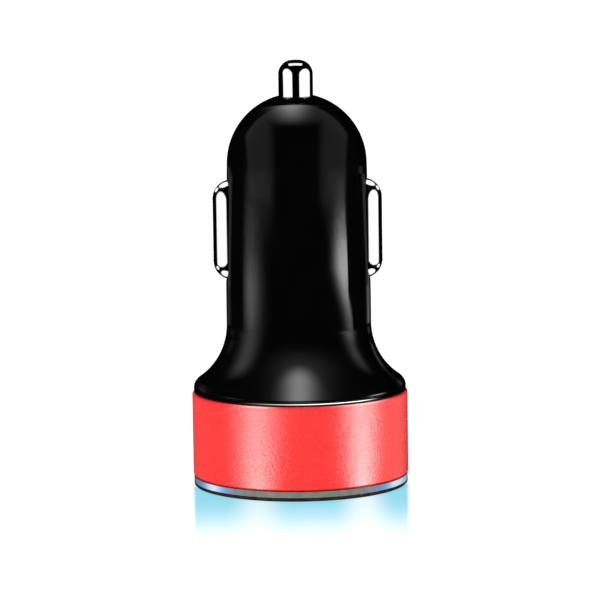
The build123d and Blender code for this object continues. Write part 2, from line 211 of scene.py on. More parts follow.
def mathNode(tree, kind, first, second=0.0, third=0.0):
    node = tree.nodes.new("ShaderNodeMath")
    node.operation = kind
    for socket, value in zip(node.inputs, (first, second, third)):
        wire(value, socket)
    return node.outputs[0]


def bumpNode(tree, shader, height, depth):
    node = tree.nodes.new("ShaderNodeBump")
    wire(depth, node.inputs["Distance"])
    wire(1.0, node.inputs["Strength"])
    wire(height, node.inputs["Height"])
    wire(node.outputs[0], shader.inputs["Normal"])


def attributeNode(tree, name):
    node = tree.nodes.new("ShaderNodeAttribute")
    node.attribute_name = name
    return node.outputs["Fac"]


# cloudy colour between two tones, with a share of fine grain in it; roughness and bump follow the grain
def grainedMaterial(name, look):
    material, tree, shader, place = startMaterial(name, look)
    cloud = noiseNode(tree, place, look["cloudSize"] * mm, look.get("cloudDetail", 3))
    grain = noiseNode(tree, place, look["grainSize"] * mm, *look.get("grainDetail", (2, 0.5)))
    tone = cloud
    if "cloudShare" in look:
        grainPart = mathNode(tree, "MULTIPLY", grain, 1 - look["cloudShare"])
        tone = mathNode(tree, "MULTIPLY_ADD", cloud, look["cloudShare"], grainPart)
    spread = rangeNode(tree, tone, 0.3, 0.7, 0, 1)
    wire(mixNode(tree, spread, look["dark"], look["light"]), shader.inputs["Base Color"])
    grainRange = look.get("grainRange", (0.25, 0.75))
    wire(rangeNode(tree, grain, *grainRange, *look["roughness"]), shader.inputs["Roughness"])
    if look["grainDepth"]:
        bumpNode(tree, shader, grain, look["grainDepth"] * mm)
    return material


# finishes: two tones, sizes and depth in mm, roughness from and to, and the sockets of a metal or of a clear skin
metal = {"Metallic": 1.0}
finishColumns = ("dark", "light", "cloudSize", "grainSize", "roughness", "grainDepth", "sockets")
finishRows = {
    "blackGloss": ((0.0008, 0.0008, 0.0009), (0.0016, 0.0016, 0.0018), 6, 0.6, (0.035, 0.06), 0, {"IOR": 1.5}),
    "faceBlack": ((0.012, 0.012, 0.013), (0.02, 0.02, 0.021), 2, 0.12, (0.42, 0.6), 0.012, {}),
    "brightPlate": ((0.83, 0.835, 0.845), (0.9, 0.9, 0.905), 2, 0.15, (0.03, 0.06), 0, metal),
    "springSteel": ((0.45, 0.46, 0.48), (0.6, 0.6, 0.62), 1, 0.08, (0.2, 0.34), 0.002, metal),
    "contactBrass": ((0.62, 0.42, 0.16), (0.8, 0.58, 0.25), 1.5, 0.1, (0.22, 0.38), 0.002, metal),
    "portSteel": ((0.5, 0.5, 0.51), (0.66, 0.66, 0.67), 2.5, 0.1, (0.2, 0.33), 0.003, metal),
    "portPlastic": ((0.62, 0.61, 0.58), (0.72, 0.71, 0.68), 2, 0.1, (0.35, 0.5), 0.004, {}),
    "contactGold": ((0.75, 0.5, 0.15), (0.9, 0.65, 0.25), 1, 0.08, (0.15, 0.28), 0, metal),
    "canAluminium": ((0.6, 0.61, 0.62), (0.76, 0.77, 0.78), 1.5, 0.12, (0.22, 0.36), 0.003, metal),
    "ferrite": ((0.03, 0.03, 0.032), (0.065, 0.064, 0.062), 0.6, 0.1, (0.5, 0.72), 0.02, {}),
    "chipBlack": ((0.014, 0.014, 0.015), (0.024, 0.024, 0.025), 0.8, 0.07, (0.45, 0.62), 0.008, {}),
    "fuseBody": ((0.05, 0.16, 0.06), (0.09, 0.26, 0.1), 0.8, 0.1, (0.4, 0.55), 0.006, {}),
    "ceramicBody": ((0.33, 0.24, 0.16), (0.45, 0.34, 0.24), 0.5, 0.06, (0.35, 0.5), 0.004, {}),
    # near-black finish for the light ring's chamfer and top edge: painted shade in the gap under the band, painted
    # dark reflection on the chamfer
    "rimShadedEdge": ((0.012, 0.014, 0.011), (0.03, 0.033, 0.026), 1.2, 0.3, (0.1, 0.2), 0, {"IOR": 1.58}),
}
finishes = {name: dict(zip(finishColumns, row)) for name, row in finishRows.items()}
made = {name: grainedMaterial(name, look) for name, look in finishes.items()}

# satin anodised red: sand-blasted grain under a clear sealed skin; edges are the same red, polished
redLook = dict(dark=(0.95, 0.022, 0.02), light=(0.99, 0.03, 0.028), cloudSize=2.5, cloudDetail=2, cloudShare=0.35,
               grainSize=0.3, grainDetail=(3, 0.65), grainRange=(0.3, 0.7), roughness=(0.2, 0.3), grainDepth=0.07,
               sockets={"Metallic": 0.0, "IOR": 1.75, "Specular IOR Level": 0.5})
redEdgeLook = dict(redLook, roughness=(0.1, 0.16), grainDepth=0.002)
made["redSatin"] = grainedMaterial("redSatin", redLook)
made["redEdge"] = grainedMaterial("redEdge", redEdgeLook)


# clear light guide: faintly green-grey, with a painted glow for the lamps behind it: emission and a dark blue
# base under the halo, set by lampCore and lampHalo, numbers kept on the ring's own points
def rimMaterial(name, look):
    material, tree, shader, place = startMaterial(name, look)
    cloud = noiseNode(tree, place, look["cloudSize"] * mm, 3)
    plain = mixNode(tree, rangeNode(tree, cloud, 0.3, 0.7, 0, 1), look["dark"], look["light"])
    core, halo = attributeNode(tree, "lampCore"), attributeNode(tree, "lampHalo")
    wire(mixNode(tree, halo, plain, look["litBase"]), shader.inputs["Base Color"])
    wire(mixNode(tree, core, look["haloColour"], look["coreColour"]), shader.inputs["Emission Color"])
    wire(mathNode(tree, "MULTIPLY", halo, look["glow"]), shader.inputs["Emission Strength"])
    wire(rangeNode(tree, cloud, 0.3, 0.7, *look["roughness"]), shader.inputs["Roughness"])
    return material


rimLook = dict(dark=(0.2, 0.21, 0.185), light=(0.27, 0.28, 0.25), cloudSize=1.2, roughness=(0.1, 0.2),
               litBase=(0.03, 0.05, 0.08), haloColour=(0.05, 0.36, 0.92), coreColour=(0.75, 0.85, 1.0), glow=0.9,
               sockets={"IOR": 1.58, "Transmission Weight": 0.15})
made["clearRim"] = rimMaterial("clearRim", rimLook)


# board laminate: green mask over a faint weave of tracks
def boardMaterial(name, look):
    material, tree, shader, place = startMaterial(name, look)
    tracks = tree.nodes.new("ShaderNodeTexBrick")
    wire(1 / (look["trackPitch"] * mm), tracks.inputs["Scale"])
    for socket, colour in (("Color1", look["dark"]), ("Color2", look["light"]), ("Mortar", look["track"])):
        wire(colour, tracks.inputs[socket])
    turned = tree.nodes.new("ShaderNodeMapping")
    turned.inputs["Rotation"].default_value = (np.pi / 2, 0, 0)
    wire(place, turned.inputs["Vector"])
    wire(turned.outputs[0], tracks.inputs["Vector"])
    wire(tracks.outputs["Color"], shader.inputs["Base Color"])
    weave = noiseNode(tree, place, look["weaveSize"] * mm)
    wire(rangeNode(tree, weave, 0.3, 0.7, *look["roughness"]), shader.inputs["Roughness"])
    bumpNode(tree, shader, tracks.outputs["Fac"], look["trackDepth"] * mm)
    return material


boardLook = dict(dark=(0.01, 0.09, 0.035), light=(0.014, 0.12, 0.045), track=(0.02, 0.17, 0.06), trackPitch=1.8,
                 trackDepth=0.02, weaveSize=0.3, roughness=(0.25, 0.4))
made["boardGreen"] = boardMaterial("boardGreen", boardLook)


# lamps: yellow phosphor window in a white body, lit
def lampMaterial(name, look):
    material, tree, shader, place = startMaterial(name, look)
    cloud = noiseNode(tree, place, look["cloudSize"] * mm)
    spread = rangeNode(tree, cloud, 0.35, 0.65, 0, 1)
    wire(mixNode(tree, spread, look["body"], look["window"]), shader.inputs["Base Color"])
    wire(rangeNode(tree, cloud, 0.3, 0.7, *look["roughness"]), shader.inputs["Roughness"])
    return material


lampLook = dict(body=(0.8, 0.8, 0.78), window=(0.9, 0.85, 0.5), cloudSize=0.4, roughness=(0.3, 0.5),
                sockets={"Emission Color": (0.35, 0.6, 1), "Emission Strength": 1.5})
made["lampWhite"] = lampMaterial("lampWhite", lampLook)
print("materials made:", len(made))


# housing: one closed outline turned about the axis, with two long slots let into the barrel
housing = dict(
    skirtInner=12.75, skirtOuter=14.15, skirtLow=1.5, shoulderZ=13.0, shoulderRadius=14.78,
    beadHeight=0.34, beadSeat=14.5, seatDrop=0.08, seatInset=0.01, grooveWidth=0.2,
    cornerRadii=(0.15, 0.05, 0.04, 0.05, 0.06, 0.1, 0.15), filletRadius=1.64, filletFirst=6, flareRadius=9.3,
    barrelRadius=10.05, landLength=5.8, ease=4, barrelLength=22.2, noseRadius=9.68, wall=1.6, boreRadius=2.49,
    lipWidth=0.2, lip=((0.1, 0.005), (0.03, -0.04), (0, -0.14), (0, -0.3)), vaultTop=51.027, upperBore=11.9,
    ledgeZ=6.0, throatDrop=2.0, throatHeight=8.0, slotHalf=2.75, slotStraight=8.64, slotZ=35.647, slotEdge=0.14,
    slotShares=(0.3, 0.6, 0.8), slotSupport=1.6, slotSteps=6, windowLow=27.9, windowHigh=43.9, columns=192, landRows=9,
    windowColumns=13, windowRows=26, filletSteps=14, flareSteps=40, domeSteps=44, vaultSteps=12)


# heights that follow: the fillet and the flare arc share the angle at which they meet, and the barrel's
# sides touch the nose ball
def housingHeights(h):
    filletZ = h["shoulderZ"] + h["beadHeight"] + h["grooveWidth"]
    drop = (h["shoulderRadius"] - h["barrelRadius"]) / (h["filletRadius"] + h["flareRadius"])
    meet = np.arccos(1 - drop)
    flareTop = filletZ + (h["filletRadius"] + h["flareRadius"]) * np.sin(meet)
    landTop, noseZ = flareTop + h["landLength"], flareTop + h["barrelLength"]
    reach = np.hypot(h["barrelRadius"], noseZ - landTop)
    draft = np.arccos(h["noseRadius"] / reach) - np.arctan2(noseZ - landTop, h["barrelRadius"])
    touchZ = noseZ + h["noseRadius"] * np.sin(draft)
    rate = (h["noseRadius"] * np.cos(draft) - h["barrelRadius"]) / (touchZ - landTop)
    return dict(filletZ=filletZ, meet=np.degrees(meet), flareTop=flareTop, landTop=landTop, noseZ=noseZ,
                draft=np.degrees(draft), touchZ=touchZ, rate=rate)


housing.update(housingHeights(housing))


# wall radius at a height: straight land, then the drafted line, eased into each other by a square over twice the ease
def wallRadius(h, z, inset=0.0):
    above = z - h["landTop"]
    share = np.clip((above + h["ease"]) / (2 * h["ease"]), 0, 1)
    eased = h["rate"] * h["ease"] * share**2
    return h["barrelRadius"] - inset + np.where(above > h["ease"], h["rate"] * above, eased)


def makeHousing(h):
    filletZ, meet, flareTop, noseZ, draft, touchZ = (
        h[name] for name in ("filletZ", "meet", "flareTop", "noseZ", "draft", "touchZ"))
    levels = np.concatenate([
        np.linspace(flareTop, h["windowLow"], h["landRows"] + 1)[:-1],
        np.linspace(h["windowLow"], h["windowHigh"], h["windowRows"] + 1),
        np.linspace(h["windowHigh"], touchZ, 4)[1:-1]])
    shoulder = [(h["skirtOuter"], h["skirtLow"]), (h["skirtOuter"], h["shoulderZ"]),
                (h["beadSeat"], h["shoulderZ"]), (h["beadSeat"], filletZ - h["seatDrop"]),
                (h["shoulderRadius"] - h["seatInset"], filletZ),
                (0, filletZ + 30), (h["skirtInner"], h["skirtLow"])]  # the last but one only closes the outline
    lower = roundedOutline(shoulder, h["cornerRadii"], 6, 0.3).reshape(len(shoulder), -1, 2)
    lower = np.concatenate([lower[6:], lower[:5]])
    fillet = arcPoints((h["shoulderRadius"] - h["filletRadius"], filletZ), h["filletRadius"], h["filletFirst"], meet,
                       h["filletSteps"])
    flare = arcPoints((h["barrelRadius"] + h["flareRadius"], flareTop), h["flareRadius"], 180 + meet, 180,
                      h["flareSteps"])[1:-1]
    barrel = np.stack([wallRadius(h, levels), levels], 1)
    ballEnd = np.degrees(np.arccos((h["boreRadius"] + h["lipWidth"]) / h["noseRadius"]))
    dome = arcPoints((0, noseZ), h["noseRadius"], draft, ballEnd, h["domeSteps"])
    lip = np.array(h["lip"]) + [h["boreRadius"], noseZ + h["noseRadius"] * np.sin(np.radians(ballEnd))]
    lip = np.vstack([lip, [(h["boreRadius"], h["vaultTop"])]])
    inner = h["noseRadius"] - h["wall"]
    vaultEnd = np.degrees(np.arcsin((h["vaultTop"] - noseZ) / inner))
    vault = arcPoints((0, noseZ), inner, vaultEnd, draft, h["vaultSteps"])
    innerLevels = np.concatenate([
        np.linspace(touchZ, h["windowHigh"], 3)[1:-1],
        np.linspace(h["windowHigh"], h["windowLow"], h["windowRows"] + 1),
        [flareTop - h["throatDrop"]]])
    cavity = np.stack([wallRadius(h, innerLevels, h["wall"]), innerLevels], 1)
    throat = np.array([(h["upperBore"], flareTop - h["throatDrop"] - h["throatHeight"]),
                       (h["upperBore"], h["ledgeZ"]), (h["skirtInner"], h["ledgeZ"])])
    parts = [lower.reshape(-1, 2), fillet, flare, barrel, dome, lip, vault, cavity, throat]
    skin = turn(np.vstack(parts), h["columns"])
    index = gridIndex(skin)
    outerFirst = sum(map(len, parts[:3])) + h["landRows"]  # first rows of the windows, outside and inside
    innerFirst = sum(map(len, parts[:7])) + 1
    keep = np.ones(index.shape, bool)
    points, quads = [skin.reshape(-1, 3)], []
    count = index.size

    # rings of points in a slot's edge: from the window frame in to the slot's outline, which is at slotHalf from
    # the slot's middle line; x follows the round wall; a ring has its share of the way in, growth and depth
    def slotRings(window, side, inset, rings):
        frameLoop = np.concatenate([window[0, :-1], window[:-1, -1], window[-1, :0:-1], window[:0:-1, 0]])
        edge = points[0][frameLoop][:, 1:]
        half = h["slotStraight"] / 2
        spine = np.stack([0 * edge[:, 0], h["slotZ"] + np.clip(edge[:, 1] - h["slotZ"], -half, half)], 1)
        away = unit(edge - spine)
        share, grown, sunk = np.array(rings, float).T[:, :, None, None]
        flat = (spine + away * h["slotHalf"])[None] * share + edge[None] * (1 - share) + away[None] * grown
        x = side * (np.sqrt(wallRadius(h, flat[..., 1], inset) ** 2 - flat[..., 0] ** 2) - sunk[..., 0])
        return frameLoop, np.concatenate([x[..., None], flat], -1)

    turnIn = np.radians(np.linspace(0, 90, h["slotSteps"]))
    e, support = h["slotEdge"], h["slotSupport"] * h["slotEdge"]
    outerRings = [(share, 0, 0) for share in h["slotShares"]] + [(1, support, 0)]
    outerRings += [(1, e * (1 - np.sin(t)), e * (1 - np.cos(t))) for t in turnIn] + [(1, 0, support)]
    for side, middle in ((1, h["columns"] // 4), (-1, 3 * h["columns"] // 4)):
        cols = slice(middle - h["windowColumns"], middle + h["windowColumns"] + 1)
        outer = index[outerFirst:outerFirst + h["windowRows"] + 1, cols]
        cave = index[innerFirst:innerFirst + h["windowRows"] + 1, cols][::-1]
        keep[outerFirst:outerFirst + h["windowRows"], cols.start:cols.stop - 1] = False
        keep[innerFirst:innerFirst + h["windowRows"], cols.start:cols.stop - 1] = False
        outerLoop, outerGrid = slotRings(outer, side, 0, outerRings)
        innerLoop, innerGrid = slotRings(cave, side, h["wall"], [(1, 0, 0), (0.5, 0, 0)])
        both = np.concatenate([outerGrid, innerGrid])
        ring = gridIndex(both, count)
        quads.append(gridQuads(np.vstack([outerLoop[None], ring, innerLoop[None]]), False, True))
        points.append(both.reshape(-1, 3))
        count += ring.size
    quads.append(gridQuads(index, True, True)[keep.reshape(-1)])
    return np.concatenate(points), np.concatenate(quads)


housingPoints, housingQuads = makeHousing(housing)
housingShell = newObject("housingShell", housingPoints, housingQuads, [made["blackGloss"]])
dress(housingShell, "charger_body", "black_plastic", "housing")
print("housing:", len(housingShell.data.polygons), "faces")

# bead: a small circle carried round the shoulder, set in its seat above the trim ring
bead = dict(radius=housing["beadHeight"] / 2, seatGap=0.1, columns=256, steps=20)
bead["middle"] = (housing["shoulderRadius"] - bead["radius"],
                  housing["shoulderZ"] + bead["seatGap"] + bead["radius"])
beadCircle = arcPoints(bead["middle"], bead["radius"], 0, 360, bead["steps"] + 1)[:-1]
beadGrid = turn(beadCircle, bead["columns"])
shoulderBead = newObject("shoulderBead", *joined((beadGrid, True, True)), [made["blackGloss"]])
dress(shoulderBead, "charger_body", "black_plastic", "housing")

# trim ring: a rectangle outline with rounded chamfers, turned; the band and the bore are satin, the edges polished
trim = dict(radius=15.0, wall=0.8, low=1.5, height=11.5, chamfer=0.2, columns=256,
            cornerRadii=(0.05, 0.03, 0.05, 0.05, 0.03, 0.05), bandSlack=0.01, edgeSlack=0.02)


def makeTrim(t):
    out, bore = t["radius"], t["radius"] - t["wall"]
    low, high, c = t["low"], t["low"] + t["height"], t["chamfer"]
    corners = [(bore, low), (out - c, low), (out, low + c), (out, high - c), (out - c, high), (bore, high)]
    outline = roundedOutline(corners, t["cornerRadii"], 4, 0.5)
    grid = turn(outline, t["columns"])
    middle = (outline + np.roll(outline, -1, 0)) / 2
    band = (middle[:, 0] > out - t["bandSlack"]) & (middle[:, 1] > low + c) & (middle[:, 1] < high - c)
    which = np.where(band | (middle[:, 0] < out - c - t["edgeSlack"]), 0, 1)
    return grid, gridQuads(gridIndex(grid), True, True), np.repeat(which, t["columns"])


trimPoints, trimQuads, trimFaces = makeTrim(trim)
trimSleeve = newObject("trimSleeve", trimPoints, trimQuads, [made["redSatin"], made["redEdge"]], trimFaces)
dress(trimSleeve, "charger_body", "red_anodised", "trim_ring")
print("trim ring:", len(trimSleeve.data.polygons), "faces")

# light ring: stepped outline, turned; the lamps' painted glow is a sum of bell curves over the azimuth, the same at
# the front and the back; each lamp has its azimuth, strength and the widths of its core and halo towards -x and +x
rim = dict(recess=11.4, radius=14.9, chamfer=0.2, height=1.5, spigot=12.7, spigotTop=4.2, ledge=10.8, seat=2.2,
           columns=360, darkLow=0.54, darkTop=1.35, darkInset=1.7,
           cornerRadii=(0.08, 0.08, 0.1, 0.02, 0.1, 0.05, 0.1, 0.1, 0.05, 0.05),
           lamps=(dict(azimuth=-54.5, strength=1.0, core=(5, 5), halo=(11, 9)),
                  dict(azimuth=60, strength=0.88, core=(4.5, 15), halo=(9.5, 18))))


def makeRim(r):
    corners = [(r["recess"], 0), (r["radius"] - r["chamfer"], 0), (r["radius"], r["chamfer"]),
               (r["radius"], r["darkLow"]), (r["radius"], r["height"]), (r["spigot"], r["height"]),
               (r["spigot"], r["spigotTop"]), (r["ledge"], r["spigotTop"]), (r["ledge"], r["seat"]),
               (r["recess"], r["seat"])]
    outline = roundedOutline(corners, r["cornerRadii"], 5, 0.4)
    middle = (outline + np.roll(outline, -1, 0)) / 2
    # painted shade: the chamfer below and the rounded top edge outside get a near-black second finish, painted shade
    # for the gap under the red band and painted dark reflection on the chamfer
    outside = middle[:, 0] > r["radius"] - r["darkInset"]
    edges = outside & ((middle[:, 1] < r["darkLow"]) | (middle[:, 1] > r["darkTop"]))
    return turn(outline, r["columns"]), np.repeat(edges.astype(int), r["columns"])


rimGrid, rimFaces = makeRim(rim)
lightRim = newObject("lightRim", rimGrid, gridQuads(gridIndex(rimGrid), True, True),
                     [made["clearRim"], made["rimShadedEdge"]], rimFaces, merge=False)
around = np.degrees(np.arctan2(rimGrid[..., 0], np.abs(rimGrid[..., 1])))
lampCore = sum(bell(around, lamp["azimuth"], *lamp["core"]) for lamp in rim["lamps"])
lampHalo = sum(lamp["strength"] * bell(around, lamp["azimuth"], *lamp["halo"]) for lamp in rim["lamps"])
for title, glow in (("lampCore", lampCore), ("lampHalo", lampHalo)):
    values = np.clip(glow, 0, 1).reshape(-1).astype(np.float32)
    lightRim.data.attributes.new(title, "FLOAT", "POINT").data.foreach_set("value", values)
dress(lightRim, "charger_body", "clear_plastic", "light_ring")
print("light ring:", len(lightRim.data.polygons), "faces")

# centre pin: turned outline with a large corner radius at the top, flange and boss below
pin = dict(radius=2.39, top=59.027, corner=1.95, flangeRadius=3.5, flangeLow=49.477, flangeTop=50.977,
           bossRadius=1.9, bossLow=47.877, cornerRadii=(0.1, 0.2, 0.05, 0.15, 0.15, 0.05, 0.1, 0.1), columns=96,
           crownInner=0.2, crownSteps=24, shankGap=0.5, shankSteps=6)


def makePin(p):
    crown = arcPoints((p["radius"] - p["corner"], p["top"] - p["corner"]), p["corner"], 0, 90, p["crownSteps"])
    corners = [(-3, p["bossLow"]), (p["bossRadius"], p["bossLow"]), (p["bossRadius"], p["flangeLow"]),
               (p["flangeRadius"], p["flangeLow"]), (p["flangeRadius"], p["flangeTop"]),
               (p["radius"], p["flangeTop"]), (p["radius"], 70), (-3, 70)]  # the far corners only close the outline
    below = roundedOutline(corners, p["cornerRadii"], 5, 0.4).reshape(len(corners), -1, 2)[1:6].reshape(-1, 2)
    rise = np.linspace(p["flangeTop"] + p["shankGap"], crown[0, 1], p["shankSteps"] + 1)[:-1]
    shank = np.stack([p["radius"] + 0 * rise, rise], 1)
    middle = [(p["crownInner"], p["top"]), (0, p["top"])]
    outline = np.vstack([[(0, p["bossLow"])], below, shank, crown, middle])
    return turn(outline, p["columns"])


tipPin = newObject("tipPin", *joined((makePin(pin), False, True)), [made["brightPlate"]])
dress(tipPin, "tip", "contact_plate", "tip_contact")

# side contacts: a skin carried round a long slot outline; across it, a straight side runs into a quarter circle
contact = dict(radius=2.65, sheet=0.4, straight=8.64, axisX=9.07, rimX=7.397, midZ=35.647, tabWidth=3.2,
               tabLength=1.2, tabOverlap=0.2, tabEdge=0.08, endSteps=33, sideSteps=25, wallSteps=5, archSteps=22)


def makeContact(c, side):
    half = c["straight"] / 2
    a = np.radians(np.linspace(0, 180, c["endSteps"]))
    along = np.linspace(half, -half, c["sideSteps"])[1:-1]
    spine = np.concatenate([0 * a + half, along, 0 * a - half, -along])
    way = np.concatenate([np.stack([np.cos(a), np.sin(a)], 1), np.tile([[-1.0, 0.0]], (len(along), 1)),
                          np.stack([-np.cos(a), -np.sin(a)], 1), np.tile([[1.0, 0.0]], (len(along), 1))])
    arch = np.radians(np.linspace(0, 90, c["archSteps"]))

    def shell(radius):
        out = np.concatenate([np.full(c["wallSteps"], radius), radius * np.cos(arch)])
        wall = np.linspace(c["rimX"], c["axisX"], c["wallSteps"] + 1)[:-1]
        x = np.concatenate([wall, c["axisX"] + radius * np.sin(arch)])
        y = out[:, None] * way[None, :, 0]
        z = c["midZ"] + spine[None] + out[:, None] * way[None, :, 1]
        return np.stack([side * (x[:, None] + 0 * y), y, z], -1)

    skin = np.concatenate([shell(c["radius"])[::-1], shell(c["radius"] - c["sheet"])])
    tabs = []
    for end in (-1, 1):
        far = half + c["radius"] + c["tabLength"]
        z0, z1 = sorted((c["midZ"] + end * far, c["midZ"] + end * (far - c["tabLength"] - c["tabOverlap"])))
        x0, x1 = sorted((side * c["rimX"], side * (c["rimX"] + c["sheet"])))
        bar = barPoints((x0, -c["tabWidth"] / 2, z0), (x1, c["tabWidth"] / 2, z1), c["tabEdge"])
        tabs.append((bar, False, True))
    return joined((skin, False, True), *tabs)


clips = []
for title, side in (("left", -1), ("right", 1)):
    clip = newObject(title + "Clip", *makeContact(contact, side), [made["brightPlate"]])
    clips.append(dress(clip, title + "_contact", "contact_plate", "ground_contact_" + title))
print("contacts made")

# coil spring: a circle carried along a helix whose end turns lie closer together
coil = dict(radius=2.675, wire=0.55, low=41.677, high=49.477, gap=0.05, turns=5, endTurn=0.9, endPitch=0.62,
            pathSteps=360, easeSteps=15, wireSteps=14)


def makeCoil(c):
    span = c["high"] - c["low"] - c["wire"] - 2 * c["gap"]
    t = np.linspace(0, c["turns"], c["pathSteps"])
    endRise = c["endTurn"] * c["endPitch"]
    rise = np.interp(t, [0, c["endTurn"], c["turns"] - c["endTurn"], c["turns"]], [0, endRise, span - endRise, span])
    ease = np.ones(2 * c["easeSteps"] + 1) / (2 * c["easeSteps"] + 1)
    rise = np.convolve(np.pad(rise, c["easeSteps"], mode="reflect", reflect_type="odd"), ease, "valid")
    a = 2 * np.pi * t
    out = np.stack([np.cos(a), np.sin(a), 0 * a], 1)
    path = c["radius"] * out + np.stack([0 * a, 0 * a, c["low"] + c["gap"] + c["wire"] / 2 + rise], 1)
    run = unit(np.gradient(path, axis=0))
    up = np.cross(run, -out)
    w = np.linspace(0, 2 * np.pi, c["wireSteps"], endpoint=False)[None, :, None]
    tube = path[:, None] + c["wire"] / 2 * (out[:, None] * np.cos(w) + up[:, None] * np.sin(w))
    first = np.repeat(path[:1, None], c["wireSteps"], 1)
    last = np.repeat(path[-1:, None], c["wireSteps"], 1)
    return np.concatenate([first, tube, last])


tipCoil = newObject("tipCoil", *joined((makeCoil(coil), False, True)), [made["springSteel"]])
dress(tipCoil, "charger_body", "spring_steel", "tip_spring")
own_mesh(tipCoil)

# leaf springs: a strip section carried along a bent line, with two prongs that grip the board
leaf = dict(sheet=0.25, half=1.05, edge=0.06, rootX=5.472, footZ=29.647, foot=2.8, crestX=10.885, crest=2.4,
            midZ=35.647, reach=4.6, back=3.0, bend=1.2, boardFace=0.8, prong=1.5, prongHeight=1.6)


def makeLeaf(l, side):
    line = [(l["rootX"], l["footZ"]), (l["rootX"], l["footZ"] + l["foot"]),
            (l["crestX"], l["midZ"] - l["crest"] / 2), (l["crestX"], l["midZ"] + l["crest"] / 2),
            (l["crestX"] - l["back"], l["midZ"] + l["reach"])]
    bends = roundedOutline(line, l["bend"], 12, 0.05).reshape(len(line), -1, 2)[1:-1].reshape(-1, 2)
    path = np.vstack([line[:1], bends, line[-1:]])
    run = unit(np.gradient(path, axis=0))
    across = np.stack([run[:, 1], -run[:, 0]], 1)
    t, b = l["sheet"] / 2, l["half"]
    section = roundedOutline([(-t, -b), (t, -b), (t, b), (-t, b)], l["edge"], 4, 0.3)
    x = path[:, None, 0] + across[:, None, 0] * section[None, :, 0]
    z = path[:, None, 1] + across[:, None, 1] * section[None, :, 0]
    strip = np.stack([side * x, section[None, :, 1] + 0 * x, z], -1)
    ends = [np.repeat(strip[i].mean(0)[None, None], strip.shape[1], 1) for i in (0, -1)]
    grids = [(np.concatenate([ends[0], strip, ends[1]]), False, True)]
    for way in (-1, 1):
        y0, y1 = sorted((way * l["boardFace"], way * (l["boardFace"] + l["sheet"])))
        x0, x1 = sorted((side * l["rootX"], side * (l["rootX"] - l["prong"])))
        bar = barPoints((x0, y0, l["footZ"]), (x1, y1, l["footZ"] + l["prongHeight"]), l["edge"])
        grids.append((bar, False, True))
    return joined(*grids)


for title, side in (("left", -1), ("right", 1)):
    blade = newObject(title + "Leaf", *makeLeaf(leaf, side), [made["springSteel"]])
    dress(blade, "charger_body", "spring_steel", "ground_leaf_" + title)
    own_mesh(blade)
print("springs made")

# nodes that keep their own shape get a finish
kept = {
    "face_plate": "faceBlack", "tip_terminal": "contactBrass", "circuit_board": "boardGreen",
    "led_board": "boardGreen", "usb_shell_rear": "portSteel", "usb_shell_front": "portSteel",
    "usb_insulator_rear": "portPlastic", "usb_insulator_front": "portPlastic",
    "usb_contacts_rear": "contactGold", "usb_contacts_front": "contactGold", "indicator_leds": "lampWhite",
    "input_capacitor": "canAluminium", "output_capacitor": "canAluminium",
    "power_inductor": "ferrite", "buck_controller": "chipBlack", "freewheel_diode": "chipBlack",
    "input_fuse": "fuseBody", "chip_resistors": "chipBlack", "chip_capacitors": "ceramicBody",
}
for title, finish in kept.items():
    nodes[title].data.materials.clear()
    nodes[title].data.materials.append(made[finish])
print("kept nodes finished:", len(kept))

# stage: white floor, a black surround and soft boxes that only mirrors see; floorHalf in metres, other lengths in mm;
# the two tents inside the near one are shares of it
stage = dict(
    floorHalf=3.0, floorDrop=0.02, floorGlow=0.8, floorTone=0.35, worldLight=0.8,
    centreZ=20, nearRadius=150, nearLow=-12, farRadius=600, clipTent=0.995, bandTent=0.99,
    surroundRadius=650, surroundLow=-6, tableInner=12.0, clipTableInner=17,
    tableZ=0.02, bandTableZ=0.5, clipTableZ=0.55, glowZ=0.6,
    barrelCardZ=22.5, flareCardZ=22.9, shoulderCardZ=20.4, beadCardZ=20.1, edgeCardZ=19.9, longestRun=400)
view = dict(target=(0.19, 0.0, 25.66), distance=500.0, elevation=7.7, roll=0.8, focal=216.0, sensor=36,
            picture=600, clipEnd=20)


# three kinds of card: a clear one shines from its front and hides nothing, a one-way one shines from its front,
# hides what is beyond it by its cover and is clear from behind, a black one is neither
def cardMaterial(name, kind):
    material = bpy.data.materials.new(name)
    tree, out = emptyTree(material)
    light = tree.nodes.new("ShaderNodeEmission")
    wire(0.0, light.inputs["Strength"])
    final = light.outputs[0]
    if kind != "black":
        side = tree.nodes.new("ShaderNodeNewGeometry")
        clear = tree.nodes.new("ShaderNodeBsdfTransparent")
        front = mathNode(tree, "SUBTRACT", 1.0, side.outputs["Backfacing"])
        wire(mathNode(tree, "MULTIPLY", attributeNode(tree, "level"), front), light.inputs["Strength"])
        both = tree.nodes.new("ShaderNodeAddShader" if kind == "clear" else "ShaderNodeMixShader")
        if kind == "oneWay":
            wire(mathNode(tree, "MULTIPLY", attributeNode(tree, "cover"), front), both.inputs[0])
        wire(clear.outputs[0], both.inputs[-2])
        wire(light.outputs[0], both.inputs[-1])
        final = both.outputs[0]
    wire(final, out.inputs[0])
    material.cycles.emission_sampling = "NONE"
    return material


# a card that only mirrors see; receivers are the pieces that it shines on
def reflectionCard(name, grid, level=None, receivers=(), kind="clear", cover=1.0):
    quads = gridQuads(gridIndex(grid))
    kind = "black" if level is None else kind
    if kind == "clear":
        quads = quads[level.reshape(-1)[quads].max(1) > 0.002]  # unlit parts are left out
    card = newObject(name, grid, quads, [cardMaterial(name, kind)], merge=False)
    for sense in ("camera", "diffuse", "shadow", "transmission", "volume_scatter"):
        setattr(card, "visible_" + sense, False)
    if level is not None:
        for title, values in (("level", level), ("cover", np.broadcast_to(cover, level.shape))):
            data = card.data.attributes.new(title, "FLOAT", "POINT").data
            data.foreach_set("value", values.reshape(-1).astype(np.float32))
        group = bpy.data.collections.new(name + "Receivers")
        for piece in receivers:
            group.objects.link(piece)
        card.light_linking.receiver_collection = group


